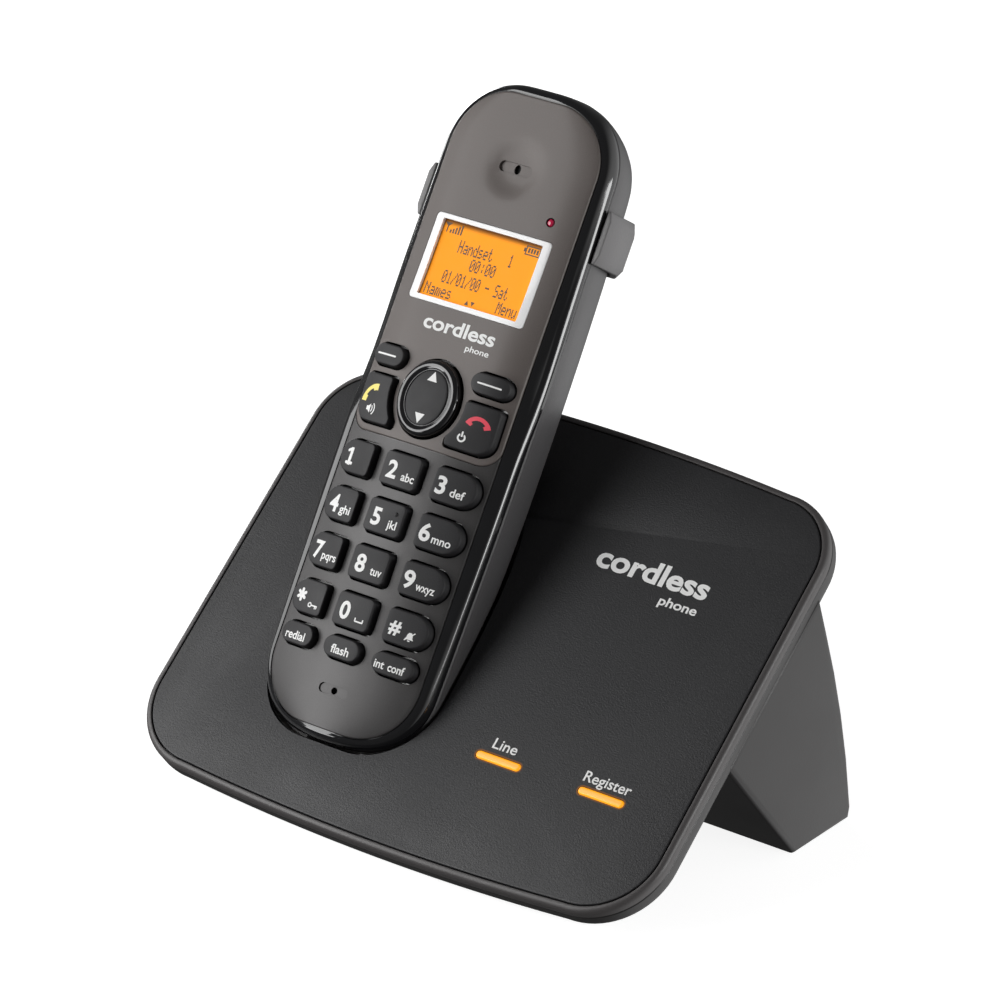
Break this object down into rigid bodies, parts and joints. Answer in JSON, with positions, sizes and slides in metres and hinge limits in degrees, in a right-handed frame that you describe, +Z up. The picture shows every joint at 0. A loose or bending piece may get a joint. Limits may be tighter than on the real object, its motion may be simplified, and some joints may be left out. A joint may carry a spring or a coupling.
{
  "type": "cordless phone with base",
  "caption": "Cordless handset with keypad, lit display and belt clip, standing in the sloping charging plate of its table base with a wedge leg.",
  "frame": {"origin": "on the table, under the middle of the object's bounding box", "axes": "+X to the right, +Z up, -Y towards the user who faces the keypad"},
  "size_m": [0.1544, 0.1142, 0.1529],
  "materials": {
    "base_shell": "satin moulded black",
    "base_panel_matte": "fine textured matte black",
    "handset_shell": "gloss black",
    "handset_back": "satin charcoal",
    "faceplate_taupe": "metallic taupe, clear coated",
    "display_frame": "white print under a clear window",
    "lcd_screen": "amber backlit",
    "led_lens": "tinted clear",
    "key_rubber": "soft matte charcoal",
    "nav_gloss": "gloss black",
    "clip_plastic": "satin charcoal",
    "light_pipe": "amber, lit from below",
    "circuit_board": "green solder mask",
    "contact_metal": "nickel plated",
    "dark_metal": "zinc plated",
    "cell_wrap": "plain green sleeve",
    "jack_plastic": "black moulded",
    "ribbon": "grey flat cable",
    "foot_rubber": "matte black"
  },
  "bodies": {
    "base": {"base_top_cover": "base_shell", "base_panel": "base_panel_matte", "base_bottom_housing": "base_shell", "network_light_bar": "light_pipe", "status_light_bar": "light_pipe", "base_pcb": "circuit_board", "jack_board": "circuit_board", "ethernet_jack": "dark_metal", "power_jack": "jack_plastic", "ribbon_cable": "ribbon", "charge_contact_left": "contact_metal", "charge_contact_right": "contact_metal", "base_screw_left": "dark_metal", "base_screw_right": "dark_metal", "front_foot_left": "foot_rubber", "front_foot_right": "foot_rubber", "rear_foot_left": "foot_rubber", "rear_foot_right": "foot_rubber"},
    "handset": {"handset_front_housing": "handset_shell", "handset_faceplate": "faceplate_taupe", "handset_back_housing": "handset_back", "battery_door": "handset_back", "display_window": "display_frame", "lcd_module": "lcd_screen", "message_led": "led_lens", "keypad_membrane": "key_rubber", "handset_pcb": "circuit_board", "earpiece_receiver": "dark_metal", "microphone": "dark_metal", "loudspeaker": "dark_metal", "battery_left": "cell_wrap", "battery_right": "cell_wrap", "handset_contact_left": "contact_metal", "handset_contact_right": "contact_metal", "handset_screw_left": "dark_metal", "handset_screw_right": "dark_metal"},
    "belt_clip": {"belt_clip": "clip_plastic"},
    "nav_key": {"nav_key": "nav_gloss", "nav_disc": "key_rubber"},
    "page_button": {"page_button": "key_rubber"},
    "key_1": {"key_1": "key_rubber"},
    "key_2": {"key_2": "key_rubber"},
    "key_3": {"key_3": "key_rubber"},
    "key_4": {"key_4": "key_rubber"},
    "key_5": {"key_5": "key_rubber"},
    "key_6": {"key_6": "key_rubber"},
    "key_7": {"key_7": "key_rubber"},
    "key_8": {"key_8": "key_rubber"},
    "key_9": {"key_9": "key_rubber"},
    "key_star": {"key_star": "key_rubber"},
    "key_0": {"key_0": "key_rubber"},
    "key_hash": {"key_hash": "key_rubber"},
    "key_redial": {"key_redial": "key_rubber"},
    "key_flash": {"key_flash": "key_rubber"},
    "key_conference": {"key_conference": "key_rubber"},
    "softkey_left": {"softkey_left": "key_rubber"},
    "softkey_right": {"softkey_right": "key_rubber"},
    "talk_key": {"talk_key": "key_rubber"},
    "end_key": {"end_key": "key_rubber"}
  },
  "joints": [
    {"name": "handset_lift", "type": "slide", "parent": "base", "child": "handset", "axis": [0, -0.8329, 0.5534], "range_m": [0, 0.12]},
    {"name": "belt_clip_pull", "type": "slide", "parent": "handset", "child": "belt_clip", "axis": [0, 0.8329, -0.5534], "range_m": [0, 0.03]},
    {"name": "nav_key_rock", "type": "hinge", "parent": "handset", "child": "nav_key", "pos_m": [-0.0229, 0.00259, 0.08967], "axis": [1, 0, 0], "range_deg": [-2.5, 2.5], "stiffness_Nm_per_rad": 0.05},
    {"name": "page_button_press", "type": "slide", "parent": "base", "child": "page_button", "axis": [0, -1, 0], "range_m": [0, 0.001], "stiffness_N_per_m": 250, "springref_m": -0.0006},
    {"name": "key_1_press", "type": "slide", "parent": "handset", "child": "key_1", "axis": [0, 0.8329, -0.5534], "range_m": [0, 0.0009], "stiffness_N_per_m": 250, "springref_m": -0.0006},
    {"name": "key_2_press", "type": "slide", "parent": "handset", "child": "key_2", "axis": [0, 0.8329, -0.5534], "range_m": [0, 0.0009], "stiffness_N_per_m": 250, "springref_m": -0.0006},
    {"name": "key_3_press", "type": "slide", "parent": "handset", "child": "key_3", "axis": [0, 0.8329, -0.5534], "range_m": [0, 0.0009], "stiffness_N_per_m": 250, "springref_m": -0.0006},
    {"name": "key_4_press", "type": "slide", "parent": "handset", "child": "key_4", "axis": [0, 0.8329, -0.5534], "range_m": [0, 0.0009], "stiffness_N_per_m": 250, "springref_m": -0.0006},
    {"name": "key_5_press", "type": "slide", "parent": "handset", "child": "key_5", "axis": [0, 0.8329, -0.5534], "range_m": [0, 0.0009], "stiffness_N_per_m": 250, "springref_m": -0.0006},
    {"name": "key_6_press", "type": "slide", "parent": "handset", "child": "key_6", "axis": [0, 0.8329, -0.5534], "range_m": [0, 0.0009], "stiffness_N_per_m": 250, "springref_m": -0.0006},
    {"name": "key_7_press", "type": "slide", "parent": "handset", "child": "key_7", "axis": [0, 0.8329, -0.5534], "range_m": [0, 0.0009], "stiffness_N_per_m": 250, "springref_m": -0.0006},
    {"name": "key_8_press", "type": "slide", "parent": "handset", "child": "key_8", "axis": [0, 0.8329, -0.5534], "range_m": [0, 0.0009], "stiffness_N_per_m": 250, "springref_m": -0.0006},
    {"name": "key_9_press", "type": "slide", "parent": "handset", "child": "key_9", "axis": [0, 0.8329, -0.5534], "range_m": [0, 0.0009], "stiffness_N_per_m": 250, "springref_m": -0.0006},
    {"name": "key_star_press", "type": "slide", "parent": "handset", "child": "key_star", "axis": [0, 0.8329, -0.5534], "range_m": [0, 0.0009], "stiffness_N_per_m": 250, "springref_m": -0.0006},
    {"name": "key_0_press", "type": "slide", "parent": "handset", "child": "key_0", "axis": [0, 0.8329, -0.5534], "range_m": [0, 0.0009], "stiffness_N_per_m": 250, "springref_m": -0.0006},
    {"name": "key_hash_press", "type": "slide", "parent": "handset", "child": "key_hash", "axis": [0, 0.8329, -0.5534], "range_m": [0, 0.0009], "stiffness_N_per_m": 250, "springref_m": -0.0006},
    {"name": "key_redial_press", "type": "slide", "parent": "handset", "child": "key_redial", "axis": [0, 0.8329, -0.5534], "range_m": [0, 0.0009], "stiffness_N_per_m": 250, "springref_m": -0.0006},
    {"name": "key_flash_press", "type": "slide", "parent": "handset", "child": "key_flash", "axis": [0, 0.8329, -0.5534], "range_m": [0, 0.0009], "stiffness_N_per_m": 250, "springref_m": -0.0006},
    {"name": "key_conference_press", "type": "slide", "parent": "handset", "child": "key_conference", "axis": [0, 0.8329, -0.5534], "range_m": [0, 0.0009], "stiffness_N_per_m": 250, "springref_m": -0.0006},
    {"name": "softkey_left_press", "type": "slide", "parent": "handset", "child": "softkey_left", "axis": [0, 0.8329, -0.5534], "range_m": [0, 0.0009], "stiffness_N_per_m": 250, "springref_m": -0.0006},
    {"name": "softkey_right_press", "type": "slide", "parent": "handset", "child": "softkey_right", "axis": [0, 0.8329, -0.5534], "range_m": [0, 0.0009], "stiffness_N_per_m": 250, "springref_m": -0.0006},
    {"name": "talk_key_press", "type": "slide", "parent": "handset", "child": "talk_key", "axis": [0, 0.8329, -0.5534], "range_m": [0, 0.0009], "stiffness_N_per_m": 250, "springref_m": -0.0006},
    {"name": "end_key_press", "type": "slide", "parent": "handset", "child": "end_key", "axis": [0, 0.8329, -0.5534], "range_m": [0, 0.0009], "stiffness_N_per_m": 250, "springref_m": -0.0006}
  ]
}
